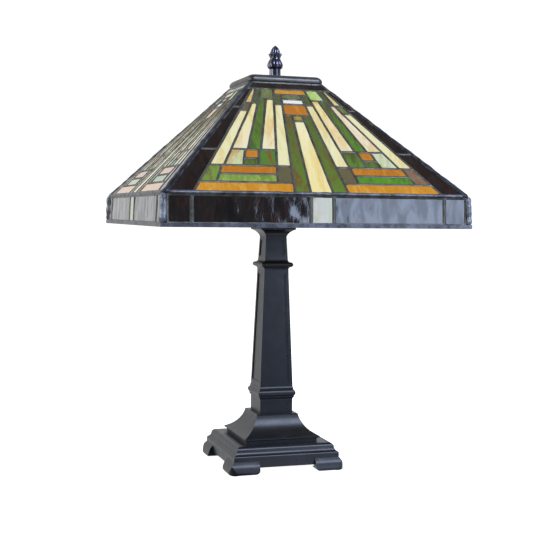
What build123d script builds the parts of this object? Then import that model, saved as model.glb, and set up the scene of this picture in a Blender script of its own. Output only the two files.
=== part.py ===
"""Square stained glass table lamp: cast base and column, leaded glass shade, two lampholders.

Millimetres. +Z is up and the origin is at the centre of the base, on the surface it stands on.
Front is -Y. Every sub-part is written to parts/NODE.step.
"""

import os
from math import atan2, cos, hypot, radians, sin

from build123d import *

# ---- driving dimensions: base and column (half widths and heights) --------------------------
FOOT_HALF = 82.0
FOOT_BOTTOM = 1.0
FOOT_TOP = 17.8
FOOT_INNER = 40.0
FOOT_HEEL_RADIUS = 6.0
FOOT_CORNER_RADIUS = 11.0
FOOT_DEPTH = 17.0
PAD_RADIUS = 6.0
PAD_PLACE = 73.0
COVER_Z = 12.9
COVER_THICK = 1.8
BALLAST_SIDE = 104.0
BALLAST_BOTTOM = 21.8
BALLAST_TOP = 31.0
APRON_HALF = 75.2
APRON_BOTTOM = 9.0
APRON_TOP = 22.6
PLINTH_HALF = 65.0
PLINTH_TOP = 36.6
PEDESTAL_FOOT_HALF = 51.0
PEDESTAL_BOTTOM_HALF = 54.4
PEDESTAL_TOP_HALF = 30.2
PEDESTAL_TOP = 72.6
BLOCK_HALF = 23.6
BLOCK_TOP = 91.0
RING_HALF = 27.2
RING_Z = 101.0
SHAFT_BOTTOM_HALF = 23.7
SHAFT_BOTTOM = 112.0
SHAFT_TOP_HALF = 17.6
SHAFT_TOP = 274.0
ASTRAGAL_HALF = 23.0
ASTRAGAL_Z = 281.5
NECK_BOTTOM_HALF = 16.8
NECK_BOTTOM = 288.5
NECK_TOP_HALF = 15.1
NECK_TOP = 320.0
CAPITAL_HALF = 25.4
CAPITAL_TOP = 334.0
CORD_Z = 18.9
CORD_HOLE = 4.4
CORD_BORE = 3.1
PANEL_MARGIN = 4.6
PANEL_DEPTH = 1.2
WALL = 4.0
NUT_ACROSS = 17.0
NUT_HEIGHT = 5.0
WASHER_RADIUS = 12.0
WASHER_THICK = 1.6
NECK_PLATE_RADIUS = 17.0
NECK_PLATE_THICK = 2.0

# ---- driving dimensions: rod, cluster and lampholders ----------------------------------------
ROD_RADIUS = 5.0
ROD_BORE = 3.2
FIT = 0.05
ROD_BOTTOM = 14.8
ROD_TOP = 348.0
CLUSTER_RADIUS = 17.0
CLUSTER_BOTTOM = 341.0
CLUSTER_TOP = 365.0
ARM_Z = 352.0
ARM_RADIUS = 6.0
ARM_REACH = 27.0
ARM_RISE = 10.0
ARM_BORE = 3.2
SOCKET_TILT = 60.0
SOCKET_RADIUS = 19.5
SOCKET_LENGTH = 48.0
SHELL_WALL = 0.9
LINER_WALL = 1.4
SWITCH_BOTTOM = 11.4
SWITCH_TOP = 21.0
SCREW_RADIUS = 14.3
SCREW_BORE = 13.6
SPINDLE_RADIUS = 1.6
SPINDLE_HOLE = 2.2
SPINDLE_INNER = 6.5
KNOB_ALONG = 15.0
KNOB_REACH = 27.0
BULB_BASE_RADIUS = 13.2
BULB_SEAT = 24.0
BULB_LENGTH = 90.0
BULB_RADIUS = 24.0

# ---- driving dimensions: riser and finial ----------------------------------------------------
RISER_RADIUS = 4.8
STUD_RADIUS = 3.1
STUD_TOP = 555.0
INSERT_RADIUS = 4.2
SEAT_RADIUS = 16.0
SEAT_THICK = 3.0
SEAT_NUT_ACROSS = 15.0
CAP_TOP = 541.5
CAP_WALL = 1.5
FINIAL_TOP = 588.5
FINIAL_NECK = 8.0
FINIAL_TIP = 0.8

# ---- driving dimensions: shade ---------------------------------------------------------------
RIM_HALF = 203.0
RIM_Z = 337.0
EAVE_HALF = 201.0
EAVE_Z = 377.5
CROWN_HALF = 51.0
CROWN_Z = 532.3
GLASS = 3.0
CAME = 4.0
CAME_PROUD = 0.4
BEAD = 3.0
HIP_GAP = 4.2
HIP_RADIUS = 4.5
PANE_FIT = 0.05
CAP_HALF = 53.6
CAP_CORNER = 8.0
CAP_TAPER = 3.2
CAP_ROLL = 2.2
BLANK_LOW = 1.2
BLANK_HIGH = 213.0
FRAME_LOW = 0.6
FRAME_TOP_GAP = 1.6
EAVE_BEAD = 2.6
RIM_LIP = 1.8
RIM_DEPTH = 5.0
RIM_DROP = 1.4
RIM_RISE = 4.0
RING_LIP = 1.0
RING_DEPTH = 7.0
RING_BOTTOM = 526.0

FAR = 400.0

# Lead lines of one slope: u from its centre line at two distances v up the slope.
RAYS = {
    "axis": ((0, 0.0), (200, 0.0)),
    "centre": ((0, 14.9), (146, 7.0)),
    "inner": ((0, 35.7), (166, 16.2)),
    "second": ((0, 57.5), (197, 22.3)),
    "third": ((80, 63.3), (176, 37.3)),
    "fourth": ((80, 80.6), (199, 39.5)),
    "fifth": ((50, 117.0), (167, 59.0)),
    "outer": ((0, 164.5), (200, 51.0)),
    "step": ((20, 131.8), (47, 121.0)),
    "notch": ((50, 92.3), (76, 85.3)),
    "slot": ((50, 72.5), (76, 67.0)),
    "crest": ((170, 57.5), (198, 47.5)),
    "hip": ((0, 201.0), (215.8, 51.0)),
}

# Panes on each side of the centre line: colour, lower v, upper v, inner ray, outer ray.
SIDE_PANES = [
    ("amber", 2.6, 17.5, "inner", "outer"),
    ("green", 20.4, 47.2, "step", "outer"),
    ("amber", 35.0, 47.2, "second", "step"),
    ("pale", 20.4, 32.0, "second", "step"),
    ("green", 20.4, 47.2, "inner", "second"),
    ("pale", 50.1, 76.8, "notch", "fifth"),
    ("amber", 63.3, 76.8, "slot", "notch"),
    ("green", 50.1, 60.4, "slot", "notch"),
    ("green", 50.1, 76.8, "second", "slot"),
    ("cream", 50.1, 151.6, "fifth", "outer"),
    ("cream", 79.8, 167.0, "fourth", "fifth"),
    ("green", 79.8, 176.2, "third", "fourth"),
    ("cream", 79.8, 176.2, "second", "third"),
    ("cream", 50.1, 166.0, "inner", "second"),
    ("green", 2.6, 145.0, "centre", "inner"),
    ("green", 169.0, 186.6, "inner", "second"),
    ("pale", 179.1, 197.7, "second", "fourth"),
    ("green", 170.0, 197.7, "fourth", "crest"),
    ("cream", 170.0, 197.7, "crest", "outer"),
    ("green", 154.5, 167.0, "fifth", "outer"),
    ("dark", 2.6, 75.6, "outer", "hip"),
    ("dark", 78.5, 158.6, "outer", "hip"),
    ("dark", 161.5, 197.7, "outer", "hip"),
]

# Panes across the centre line: colour, lower v, upper v, ray on both sides.
CENTRE_PANES = [
    ("cream", 2.6, 133.5, "centre"),
    ("amber", 136.8, 144.9, "centre"),
    ("amber", 147.9, 167.0, "inner"),
    ("pale", 170.0, 177.4, "inner"),
    ("green", 180.3, 186.6, "inner"),
    ("amber", 189.5, 197.7, "second"),
    ("dark", 200.7, 211.0, "hip"),
]

# Skirt panes: colour and half-open range of u from the centre line, mirrored to both sides.
SKIRT_PANES = [("skirt_dark", 17.2, 163.8), ("skirt_dark", 168.4, 194.6)]
SKIRT_CENTRE_HALF = 12.8
SKIRT_LOW = 4.6
SKIRT_HIGH = 36.4

SLOPE = atan2(CROWN_Z - EAVE_Z, EAVE_HALF - CROWN_HALF)
SLOPE_PLANE = Plane(
    origin=(0, -EAVE_HALF, EAVE_Z), x_dir=(1, 0, 0), z_dir=(0, -sin(SLOPE), cos(SLOPE))
)
LEAN = atan2(RIM_HALF - EAVE_HALF, EAVE_Z - RIM_Z)
SKIRT_HEIGHT = hypot(RIM_HALF - EAVE_HALF, EAVE_Z - RIM_Z)
SKIRT_PLANE = Plane(origin=(0, -RIM_HALF, RIM_Z), x_dir=(1, 0, 0), z_dir=(0, -cos(LEAN), sin(LEAN)))


# ---- helpers -----------------------------------------------------------------------------------
def write(name, *solids):
    """Write one node; several arguments become separate solids of the same node."""
    pieces = [s for item in solids for s in item.solids()]
    shape = pieces[0] if len(pieces) == 1 else Compound(children=pieces)
    export_step(shape, f"parts/{name}.step")


def outline_face(edges):
    """Close a right-hand outline (lowest point first, in X and Z) with its mirror image."""
    right = Wire([edge for item in edges for edge in item.edges()])
    left = mirror(right, about=Plane.YZ)
    ends = [Line(right @ 0, left @ 0), Line(right @ 1, left @ 1)]
    return make_face([*right.edges(), *left.edges(), *ends])


def square_moulding(*edges):
    """Solid with square plan whose half width follows the outline at each height."""
    slab = extrude(outline_face(edges), amount=FAR, both=True)
    return slab & slab.rotate(Axis.Z, 90)


def at(half, z):
    """Point of a right-hand outline."""
    return (half, 0, z)


def run(*points):
    """Straight run of an outline through (half width, height) pairs."""
    return Polyline(*[at(*p) for p in points])


def square_frustum(low_half, low_z, high_half, high_z):
    """Tapered square block."""
    return square_moulding(run((low_half, low_z), (high_half, high_z)))


def cylinder(radius, low, high):
    """Upright cylinder on the Z axis between two heights."""
    return Pos(0, 0, low) * Cylinder(radius, high - low, align=(Align.CENTER, Align.CENTER, Align.MIN))


def tube(outer, inner, low, high):
    """Upright tube on the Z axis."""
    return cylinder(outer, low, high) - cylinder(inner, low - 1, high + 1)


def hex_nut(across, bore, low, high):
    """Hexagonal nut on the Z axis."""
    blank = extrude(Pos(0, 0, low) * RegularPolygon(across / 2, 6, major_radius=False), amount=high - low)
    return blank - cylinder(bore, low - 1, high + 1)


def turned(*edges):
    """Solid of revolution about Z of a closed outline in X and Z."""
    return revolve(make_face([edge for item in edges for edge in item.edges()]), Axis.Z)


def around(solid, count=4):
    """The solid and its copies round the Z axis."""
    return [solid.rotate(Axis.Z, 360 / count * i) for i in range(count)]


# ---- base --------------------------------------------------------------------------------------
def apron_block():
    """Moulded upper part of the plinth, above the feet."""
    return square_moulding(
        run((APRON_HALF, APRON_BOTTOM), (APRON_HALF, APRON_TOP)),
        ThreePointArc(at(APRON_HALF, APRON_TOP), at(74.6, 24.6), at(72.8, 25.8)),
        ThreePointArc(at(72.8, 25.8), at(70.9, 28.0), at(69.9, 31.0)),
        ThreePointArc(at(69.9, 31.0), at(68.4, 34.6), at(PLINTH_HALF, PLINTH_TOP)),
    )


def feet():
    """Four L-shaped bracket feet with a bulging outer face, rounded corners and rounded heels."""
    ring = square_moulding(
        Spline(
            at(FOOT_HALF - 0.8, FOOT_BOTTOM),
            at(FOOT_HALF, FOOT_BOTTOM + 1.8),
            at(FOOT_HALF - 0.8, 7.4),
            at(79.4, 12.2),
            at(77.0, 15.6),
            at(APRON_HALF, FOOT_TOP),
        )
    )
    wide = 2 * FOOT_HALF
    corners = extrude(RectangleRounded(wide, wide, FOOT_CORNER_RADIUS), amount=FAR, both=True)
    core = Box(wide - 2 * FOOT_DEPTH, wide - 2 * FOOT_DEPTH, 60)
    slot = extrude(foot_gap(), amount=FAR, both=True)
    return (ring & corners) - core - slot - slot.rotate(Axis.Z, 90)


def foot_gap():
    """Opening between two feet, wider at the floor where the heels are rounded."""
    heel = FOOT_HEEL_RADIUS
    middle = heel * (1 - sin(radians(45)))
    return outline_face([
        run((FOOT_INNER + heel, FOOT_BOTTOM - 1), (FOOT_INNER + heel, FOOT_BOTTOM)),
        ThreePointArc(
            at(FOOT_INNER + heel, FOOT_BOTTOM),
            at(FOOT_INNER + middle, FOOT_BOTTOM + middle),
            at(FOOT_INNER, FOOT_BOTTOM + heel),
        ),
        run((FOOT_INNER, FOOT_BOTTOM + heel), (FOOT_INNER, FOOT_TOP + 5)),
    ])


def base_plinth():
    """Hollow plinth casting with its feet, rod hole and cord hole."""
    cavity = square_moulding(
        run((APRON_HALF - WALL, 0), (APRON_HALF - WALL, 23.6), (64.0, 31.0))
    )
    body = apron_block() + feet()
    body -= cavity & Pos(0, 0, 20) * Box(FAR, FAR, 30)
    body -= cylinder(ROD_RADIUS + FIT, 20, 50)
    return body - cord_hole(CORD_HOLE)


def cord_hole(radius):
    """Cylinder along +Y through the rear wall of the plinth."""
    return Pos(0, APRON_HALF, CORD_Z) * Rot(90, 0, 0) * Cylinder(radius, 20)


def cord_bushing():
    """Flanged bush that lines the cord hole, with a snap ring behind the wall."""
    start = Pos(0, APRON_HALF, CORD_Z) * Rot(-90, 0, 0)
    flange = start * Pos(0, 0, 1.0) * Cylinder(5.3, 2.0)
    nose = start * Pos(0, 0, 3.0) * Cone(4.9, 4.1, 2.0)
    barrel = start * Pos(0, 0, -WALL / 2) * Cylinder(CORD_HOLE - FIT, WALL)
    snap = start * Pos(0, 0, -WALL - 0.6) * Cylinder(CORD_HOLE + 0.5, 1.2)
    return flange + nose + barrel + snap - cord_hole(CORD_BORE)


def foot_pads():
    """Felt discs under the feet."""
    return around(Pos(PAD_PLACE, PAD_PLACE, FOOT_BOTTOM / 2) * Cylinder(PAD_RADIUS, FOOT_BOTTOM))


def bottom_cover():
    """Board that closes the underside of the plinth."""
    half = APRON_HALF - WALL - 0.1
    plate = Pos(0, 0, COVER_Z) * Box(2 * half, 2 * half, COVER_THICK)
    corner = 2 * (half - (FOOT_HALF - FOOT_DEPTH) + 0.1)
    return plate - around(Pos(half, half, COVER_Z) * Box(corner, corner, 4 * COVER_THICK))


def ballast_weight():
    """Cast weight bolted up under the plinth's top web."""
    plan = RectangleRounded(BALLAST_SIDE, BALLAST_SIDE, 8)
    block = extrude(Pos(0, 0, BALLAST_BOTTOM) * plan, amount=BALLAST_TOP - BALLAST_BOTTOM)
    return block - cylinder(ROD_RADIUS + 0.4, 20, 40)


def base_pedestal():
    """Coved step between the plinth and the column, with a thin lip over a recessed foot."""
    outer = square_moulding(
        run((PEDESTAL_FOOT_HALF, PLINTH_TOP), (PEDESTAL_FOOT_HALF, 40.4), (PEDESTAL_BOTTOM_HALF, 42.0)),
        run((PEDESTAL_BOTTOM_HALF, 42.0), (PEDESTAL_BOTTOM_HALF, 43.6)),
        ThreePointArc(at(PEDESTAL_BOTTOM_HALF, 43.6), at(39.0, 54.4), at(PEDESTAL_TOP_HALF, 70.6)),
        run((PEDESTAL_TOP_HALF, 70.6), (PEDESTAL_TOP_HALF, 71.6), (PEDESTAL_TOP_HALF - 1.0, PEDESTAL_TOP)),
    )
    cavity = square_moulding(
        run((47.5, 30), (47.5, 39.4)),
        ThreePointArc(at(47.5, 39.4), at(34.0, 50.0), at(26.0, 66.0)),
    )
    return outer - cavity - cylinder(ROD_RADIUS + FIT, 60, 80)


def recess(low_half, low_z, high_half, high_z, low, high, margin):
    """Cutters for a framed panel sunk in each face of a tapered square shaft."""
    rise = high_z - low_z
    lean = atan2(low_half - high_half, rise)
    face = Plane(origin=(0, -low_half, low_z), x_dir=(1, 0, 0), z_dir=(0, -cos(lean), sin(lean)))

    def half(z):
        return low_half + (high_half - low_half) * (z - low_z) / rise - margin

    points = [(-half(low), low - low_z), (half(low), low - low_z),
              (half(high), high - low_z), (-half(high), high - low_z)]
    frame = make_face(Polyline(*points, close=True))
    inner = offset(frame, amount=-1.6, kind=Kind.INTERSECTION)
    shallow = face * Pos(0, 0, -PANEL_DEPTH / 2) * extrude(frame, amount=4)
    deep = face * Pos(0, 0, -PANEL_DEPTH) * extrude(inner, amount=4)
    return [c for cutter in (shallow, deep) for c in around(cutter)]


def column():
    """Tapered square column: block, ring moulding, panelled shaft, astragal and panelled neck."""
    body = square_moulding(
        run((BLOCK_HALF, PEDESTAL_TOP), (BLOCK_HALF, BLOCK_TOP)),
        ThreePointArc(at(BLOCK_HALF, BLOCK_TOP), at(24.1, 93.2), at(25.4, 94.8)),
        run((25.4, 94.8), (25.4, 97.0)),
        ThreePointArc(at(25.4, 97.0), at(RING_HALF, RING_Z), at(25.4, 105.0)),
        run((25.4, 105.0), (24.6, 105.8), (24.6, 108.2)),
        ThreePointArc(at(24.6, 108.2), at(23.9, 109.6), at(SHAFT_BOTTOM_HALF, SHAFT_BOTTOM)),
        run((SHAFT_BOTTOM_HALF, SHAFT_BOTTOM), (SHAFT_TOP_HALF, SHAFT_TOP)),
        ThreePointArc(at(SHAFT_TOP_HALF, SHAFT_TOP), at(18.2, 276.6), at(20.4, 278.2)),
        ThreePointArc(at(20.4, 278.2), at(ASTRAGAL_HALF, ASTRAGAL_Z), at(20.4, 284.6)),
        ThreePointArc(at(20.4, 284.6), at(17.8, 285.8), at(NECK_BOTTOM_HALF, NECK_BOTTOM)),
        run((NECK_BOTTOM_HALF, NECK_BOTTOM), (NECK_TOP_HALF, NECK_TOP)),
    )
    shaft = (SHAFT_BOTTOM_HALF, SHAFT_BOTTOM, SHAFT_TOP_HALF, SHAFT_TOP)
    neck = (NECK_BOTTOM_HALF, NECK_BOTTOM, NECK_TOP_HALF, NECK_TOP)
    body -= recess(*shaft, SHAFT_BOTTOM + 4, SHAFT_TOP - 5, PANEL_MARGIN)
    body -= recess(*neck, NECK_BOTTOM + 4, NECK_TOP - 3, PANEL_MARGIN - 0.6)
    body -= square_frustum(18.0, 60, 10.5, 310)
    return body - cylinder(ROD_RADIUS + FIT, 300, 330)


def capital():
    """Flared square plate that ends the column under the shade."""
    body = square_moulding(
        run((NECK_TOP_HALF, NECK_TOP), (NECK_TOP_HALF, NECK_TOP + 0.8)),
        ThreePointArc(at(NECK_TOP_HALF, NECK_TOP + 0.8), at(18.2, 326.2), at(24.0, 330.2)),
        run((24.0, 330.2), (CAPITAL_HALF, 330.8), (CAPITAL_HALF, 333.2), (CAPITAL_HALF - 0.8, CAPITAL_TOP)),
    )
    return body - cylinder(ROD_RADIUS + FIT, 300, 350)


# ---- lamp cluster --------------------------------------------------------------------------------
ARM_DIRECTION = Vector(cos(radians(SOCKET_TILT)), 0, sin(radians(SOCKET_TILT)))
SOCKET_BASE = Vector(ARM_REACH, 0, ARM_Z) + ARM_DIRECTION * ARM_RISE
SOCKET_PLANE = Plane(origin=SOCKET_BASE, x_dir=(0, -1, 0), z_dir=ARM_DIRECTION)


def arm(radius, inner_x):
    """Elbow from the cluster body out to a lampholder."""
    level = Pos((inner_x + ARM_REACH) / 2, 0, ARM_Z) * Rot(0, 90, 0) * Cylinder(radius, ARM_REACH - inner_x)
    elbow = Pos(ARM_REACH, 0, ARM_Z) * Sphere(radius)
    riser = SOCKET_PLANE * Pos(0, 0, -ARM_RISE / 2) * Cylinder(radius, ARM_RISE)
    return level + elbow + riser


def cluster_body():
    """Cup on top of the column with two elbow arms, bored for the wires."""
    cup = fillet(cylinder(CLUSTER_RADIUS, CLUSTER_BOTTOM, CLUSTER_TOP).edges().sort_by(Axis.Z)[0], 4)
    arms = arm(ARM_RADIUS, 12)
    body = cup + arms + arms.rotate(Axis.Z, 180)
    body -= cylinder(CLUSTER_RADIUS - 2, CLUSTER_BOTTOM + 4, CLUSTER_TOP + 1)
    bores = arm(ARM_BORE, 10)
    body -= bores + bores.rotate(Axis.Z, 180)
    return body - cylinder(ROD_RADIUS + FIT, CLUSTER_BOTTOM - 1, CLUSTER_TOP)


def cluster_cover():
    """Domed lid of the cluster body, which the riser stands in."""
    lip, low = CLUSTER_RADIUS + 0.6, CLUSTER_TOP
    dome = turned(
        run((0, low), (lip, low), (lip, low + 1.4)),
        ThreePointArc(at(lip, low + 1.4), at(13.0, low + 4.2), at(7.0, low + 5.4)),
        run((7.0, low + 5.4), (0, low + 5.4), (0, low)),
    )
    return dome - cylinder(RISER_RADIUS + FIT, 340, 400)


# ---- lampholder and bulb, in their own frame: +Z is the bulb's axis, out of the holder -----------
def along_spindle(radius, start, length):
    """Cylinder along the switch knob's spindle, from a distance off the holder's axis."""
    return Pos(start + length / 2, 0, KNOB_ALONG) * Rot(0, 90, 0) * Cylinder(radius, length)


def knob_bore(radius):
    """Hole for the switch knob's spindle."""
    return along_spindle(radius, 4, SOCKET_RADIUS + 4)


def socket_shell():
    """Metal outer shell with a domed foot."""
    wide, bore = SOCKET_RADIUS, SOCKET_RADIUS - SHELL_WALL
    mouth = SOCKET_LENGTH + 1
    outer = turned(
        run((0, 0), (9.0, 0)),
        ThreePointArc(at(9.0, 0), at(16.2, 3.6), at(wide, 11.0)),
        run((wide, 11.0), (wide, SOCKET_LENGTH), (0, SOCKET_LENGTH), (0, 0)),
    )
    inner = turned(
        run((0, 1.0), (8.6, 1.0)),
        ThreePointArc(at(8.6, 1.0), at(15.4, 4.4), at(bore, 11.2)),
        run((bore, 11.2), (bore, mouth), (0, mouth), (0, 1.0)),
    )
    return outer - inner - cylinder(ARM_BORE + 0.2, -1, 2) - knob_bore(SPINDLE_HOLE)


def socket_liner():
    """Insulating sleeve inside the shell."""
    outer = SOCKET_RADIUS - SHELL_WALL - FIT
    return tube(outer, outer - LINER_WALL, SWITCH_BOTTOM, SOCKET_LENGTH - 0.6) - knob_bore(SPINDLE_HOLE)


def socket_switch():
    """Moulded switch body that carries the contacts and the spindle."""
    body = cylinder(SOCKET_RADIUS - SHELL_WALL - LINER_WALL - 2 * FIT - 0.1, SWITCH_BOTTOM, SWITCH_TOP)
    return body - knob_bore(SPINDLE_RADIUS + FIT) - Pos(0, 0, 12) * Box(8, 3, 6)


def socket_screw_shell():
    """Threaded shell that the bulb's base screws into."""
    shell = tube(SCREW_RADIUS, SCREW_BORE, SWITCH_TOP, SOCKET_LENGTH - 3)
    return shell + tube(SCREW_RADIUS + 1.6, SCREW_BORE, SWITCH_TOP, SWITCH_TOP + 0.8)


def socket_contact():
    """Sprung centre contact."""
    return cylinder(4.0, SWITCH_TOP, SWITCH_TOP + 1.2) + cylinder(2.4, SWITCH_TOP + 1.2, BULB_SEAT - 0.5)


def switch_knob():
    """Turn knob on its spindle."""
    spindle = along_spindle(SPINDLE_RADIUS, SPINDLE_INNER, KNOB_REACH - SPINDLE_INNER)
    hub = along_spindle(3.4, KNOB_REACH - 5.5, 5.0)
    grip = Pos(KNOB_REACH + 3.5, 0, KNOB_ALONG)
    paddle = grip * Rot(0, 90, 0) * extrude(Ellipse(4.0, 7.5), amount=3.6, both=True)
    return spindle + hub + (paddle & grip * Box(9, 30, 4.4))


def bulb_contact():
    """Centre contact of the bulb."""
    return cylinder(4.4, BULB_SEAT, BULB_SEAT + 1.6)


def bulb_base():
    """Screw base of the bulb with its black insulator cone left open for the contact."""
    low, wide, bore = BULB_SEAT, BULB_BASE_RADIUS, BULB_BASE_RADIUS - 0.8
    return turned(
        run((4.5, low), (6.0, low), (wide - 1.6, low + 3.4), (wide, low + 4.2), (wide, low + 24)),
        run((wide, low + 24), (bore, low + 24), (bore, low + 6), (4.5, low + 2.4), (4.5, low)),
    )


def bulb_glass():
    """Hollow envelope whose neck sits in the screw base."""
    top = BULB_SEAT + BULB_LENGTH
    centre = top - BULB_RADIUS
    neck = BULB_BASE_RADIUS - 0.9

    def envelope(wall):
        reach = BULB_RADIUS - wall
        shoulder = at(reach * cos(radians(38)), centre - reach * sin(radians(38)))
        low = BULB_SEAT + 12 + wall
        collar = BULB_SEAT + 25
        return turned(
            run((0, low), (neck - wall, low), (neck - wall, collar)),
            ThreePointArc(at(neck - wall, collar), at(14.6 - wall, 62.0), shoulder),
            ThreePointArc(shoulder, at(reach, centre), at(0, centre + reach)),
            run((0, centre + reach), (0, low)),
        )

    return envelope(0) - envelope(1.2)


# ---- riser, seat and finial ----------------------------------------------------------------------
def lamp_rod():
    """Hollow threaded pipe through the base and column."""
    return tube(ROD_RADIUS, ROD_BORE, ROD_BOTTOM, ROD_TOP)


def riser_rod():
    """Rod from the cluster to the cap, with a reduced threaded stud on top."""
    shoulder = CAP_TOP - CAP_WALL
    return cylinder(RISER_RADIUS, CLUSTER_TOP - 6, shoulder) + cylinder(STUD_RADIUS, shoulder, STUD_TOP)


def finial_insert():
    """Threaded bush inside the finial."""
    return tube(INSERT_RADIUS, STUD_RADIUS + FIT, CAP_TOP + 0.4, STUD_TOP + 1)


def finial():
    """Turned finial: round neck, lower bud, waist, leafed collar and pointed bud."""
    low, neck = CAP_TOP, FINIAL_NECK
    foot = neck + 0.5
    body = turned(
        run((0, low), (foot, low), (foot, low + 1.0), (neck, low + 1.6), (neck, 555.6), (8.8, 556.6)),
        ThreePointArc(at(8.8, 556.6), at(11.3, 561.4), at(9.0, 567.6)),
        ThreePointArc(at(9.0, 567.6), at(6.9, 570.8), at(7.6, 573.6)),
        ThreePointArc(at(7.6, 573.6), at(8.6, 577.0), at(6.4, 581.0)),
        ThreePointArc(at(6.4, 581.0), at(4.6, 585.0), at(FINIAL_TIP, FINIAL_TOP)),
        run((FINIAL_TIP, FINIAL_TOP), (0, FINIAL_TOP), (0, low)),
    )
    return body - cylinder(INSERT_RADIUS + FIT, low - 1, STUD_TOP + 2)


# ---- shade ---------------------------------------------------------------------------------------
def ray_u(name, v):
    """Distance from the slope's centre line to a lead line at distance v up the slope."""
    (v0, u0), (v1, u1) = RAYS[name]
    return u0 + (u1 - u0) * (v - v0) / (v1 - v0)


def pane_face(low, high, inner, outer, side, fit):
    """Outline of one pane, drawn in the slope's plane."""
    edge = BEAD / 2 + fit
    outer_edge = HIP_GAP + BEAD / 2 + fit if outer == "hip" else edge

    def left(v):
        return side * (ray_u(inner, v) + edge)

    def right(v):
        return side * (ray_u(outer, v) - outer_edge)

    low, high = low + fit, high - fit
    corners = [(left(low), low), (right(low), low), (right(high), high), (left(high), high)]
    return make_face(Polyline(*corners, close=True))


def centre_face(low, high, ray, fit):
    """Outline of a pane that crosses the centre line."""
    edge = HIP_GAP + BEAD / 2 + fit if ray == "hip" else BEAD / 2 + fit
    low, high = low + fit, high - fit
    a, b = ray_u(ray, low) - edge, ray_u(ray, high) - edge
    return make_face(Polyline((-a, low), (a, low), (b, high), (-b, high), close=True))


def slope_panes(fit):
    """(colour, outline) of every pane of one slope."""
    found = [(colour, pane_face(low, high, inner, outer, side, fit))
             for colour, low, high, inner, outer in SIDE_PANES for side in (1, -1)]
    return found + [(colour, centre_face(low, high, ray, fit)) for colour, low, high, ray in CENTRE_PANES]


def skirt_panes(fit):
    """(colour, outline) of every pane of one skirt panel."""
    height = SKIRT_HIGH - SKIRT_LOW - 2 * fit
    middle = (SKIRT_HIGH + SKIRT_LOW) / 2
    found = [("skirt_pale", Pos(0, middle) * Rectangle(2 * (SKIRT_CENTRE_HALF - fit), height))]
    for colour, low, high in SKIRT_PANES:
        width = high - low - 2 * fit
        places = [Pos(side * (low + high) / 2, middle) for side in (1, -1)]
        found += [(colour, place * Rectangle(width, height)) for place in places]
    return found


def slab(plane, face, low, high):
    """Face drawn in the plane, thickened between two distances along its normal."""
    return plane * (Pos(0, 0, low) * extrude(face, amount=high - low))


def slope_blank():
    """Outline of one slope's lead network, stopping short of the hips."""
    low, high = BLANK_LOW, BLANK_HIGH
    a, b = ray_u("hip", low) - HIP_GAP, ray_u("hip", high) - HIP_GAP
    return make_face(Polyline((-a, low), (a, low), (b, high), (-b, high), close=True))


def skirt_blank():
    """Outline of one skirt panel's lead frame."""
    low, high = FRAME_LOW, SKIRT_HEIGHT - FRAME_TOP_GAP
    return Pos(0, (low + high) / 2) * Rectangle(2 * (EAVE_HALF - HIP_GAP), high - low)


def leaded(plane, blank, panes):
    """Lead network: the blank with one opening for each pane."""
    face = blank
    for _, pane in panes:
        face -= pane
    return slab(plane, face, CAME_PROUD - CAME, CAME_PROUD)


def glass_by_colour():
    """Panes of all four sides, as {colour: [solids]}."""
    groups = {}
    for plane, panes in ((SLOPE_PLANE, slope_panes(PANE_FIT)), (SKIRT_PLANE, skirt_panes(PANE_FIT))):
        for colour, face in panes:
            pane = slab(plane, face, CAME_PROUD - CAME + 0.5, CAME_PROUD - CAME + 0.5 + GLASS)
            groups.setdefault(colour, []).extend(around(pane))
    return groups


def rod_between(start, end, radius):
    """Round bar between two points."""
    start, end = Vector(*start), Vector(*end)
    plane = Plane(origin=start, z_dir=end - start)
    return plane * Pos(0, 0, (end - start).length / 2) * Cylinder(radius, (end - start).length)


def shade_blanks():
    """Solid stand-ins of all eight panels, used to trim the beads that join them."""
    slope = slab(SLOPE_PLANE, slope_blank(), CAME_PROUD - CAME, CAME_PROUD)
    skirt = slab(SKIRT_PLANE, skirt_blank(), CAME_PROUD - CAME, CAME_PROUD)
    return around(slope) + around(skirt)


def hip_beads(blanks):
    """Rounded seams down the four hips."""
    drop = 1.0
    bead = rod_between(
        (EAVE_HALF - drop, -EAVE_HALF + drop, EAVE_Z - drop),
        (CROWN_HALF - drop, -CROWN_HALF + drop, CROWN_Z - drop),
        HIP_RADIUS,
    )
    bead -= Pos(0, 0, CROWN_Z + 18.4) * Box(FAR, FAR, 40)
    return around(bead - blanks[0] - blanks[1] - blanks[4] - blanks[5])


def corner_seams(blanks, hips, rims):
    """Rounded seams at the four upright corners of the skirt."""
    low, high = RIM_HALF - 1.0, EAVE_HALF - 1.0
    bead = rod_between((low, -low, RIM_Z + RIM_RISE), (high, -high, EAVE_Z - 1.0), HIP_RADIUS)
    bead = bead - blanks[0] - blanks[1] - blanks[4] - blanks[5] - hips[0] - rims[0] - rims[1]
    return around(largest(bead))


def largest(shape):
    """The biggest solid of a trimmed shape."""
    return shape.solids().sort_by(SortBy.VOLUME)[-1]


def eave_beads(blanks, hips, seams):
    """Rounded seams between the slopes and the skirt."""
    half, y, z = EAVE_HALF - 6.0, 0.6 - EAVE_HALF, EAVE_Z - 0.2
    bead = rod_between((-half, y, z), (half, y, z), EAVE_BEAD)
    return around(largest(bead - blanks[0] - blanks[4] - hips - seams))


def mitred_bar(outer, inner, low, high):
    """Front bar of a square ring, mitred at both ends."""
    plan = Polyline((-outer, -outer), (outer, -outer), (inner, -inner), (-inner, -inner), close=True)
    return extrude(Pos(0, 0, low) * make_face(plan), amount=high - low)


def rim_channel(blanks):
    """Lead channel round the skirt's lower edge."""
    bar = mitred_bar(RIM_HALF + RIM_LIP, RIM_HALF - RIM_DEPTH, RIM_Z - RIM_DROP, RIM_Z + RIM_RISE)
    return around(largest(bar - blanks[4]))


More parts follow.
